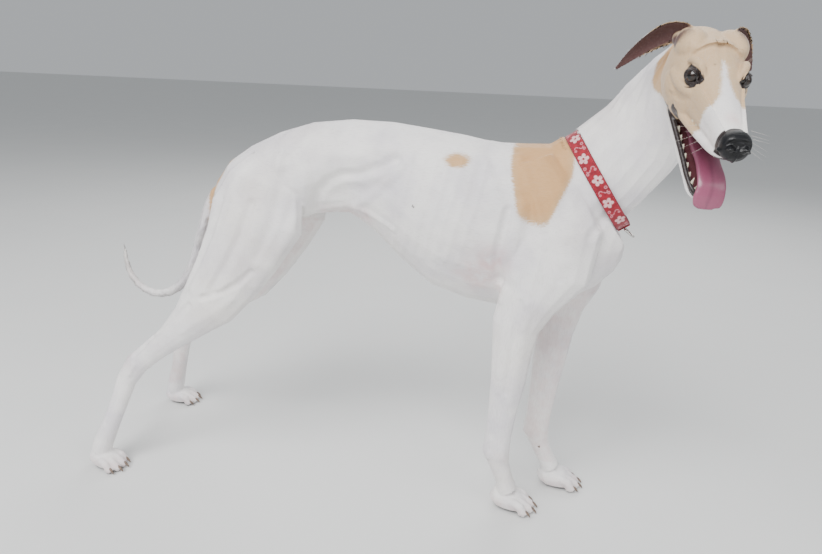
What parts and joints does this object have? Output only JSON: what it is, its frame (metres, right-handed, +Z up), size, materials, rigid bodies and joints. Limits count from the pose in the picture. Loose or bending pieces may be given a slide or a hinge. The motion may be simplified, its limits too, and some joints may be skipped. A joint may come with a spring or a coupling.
{
  "type": "greyhound",
  "caption": "Life-size standing greyhound, deep chest, arched loin, hind legs stretched back, head turned with an open mouth and lolling tongue, wearing a flat woven collar with a ring.",
  "frame": {"origin": "middle of the outline seen from above, on the floor that the paws stand on", "axes": "+X from tail to chest along the back, +Y to the dog's left, +Z up"},
  "size_m": [1.141, 0.485, 0.8805],
  "materials": {
    "coat": "short smooth coat, white with fawn",
    "nose": "moist pebbled black leather",
    "tongue": "moist mauve pink",
    "eye": "dark brown, wet gloss",
    "webbing": "woven red webbing",
    "steel": "nickel plated wire",
    "tooth": "enamel",
    "claw": "horn"
  },
  "bodies": {
    "root": {"head": "coat", "neck": "coat", "neck_root": "coat", "lower_jaw": "coat", "nose": "nose", "tongue": "tongue", "eye_right": "eye", "eye_left": "eye", "ear_right": "coat", "ear_left": "coat", "chest": "coat", "loin": "coat", "rump": "coat", "shoulder_right_front": "coat", "forearm_right_front": "coat", "pastern_right_front": "coat", "paw_right_front": "coat", "shoulder_left_front": "coat", "forearm_left_front": "coat", "pastern_left_front": "coat", "paw_left_front": "coat", "thigh_right_rear": "coat", "gaskin_right_rear": "coat", "hock_right_rear": "coat", "paw_right_rear": "coat", "thigh_left_rear": "coat", "gaskin_left_rear": "coat", "hock_left_rear": "coat", "paw_left_rear": "coat", "tail_root": "coat", "tail_tip": "coat", "collar_band": "webbing", "collar_ring": "steel"}
  },
  "joints": []
}
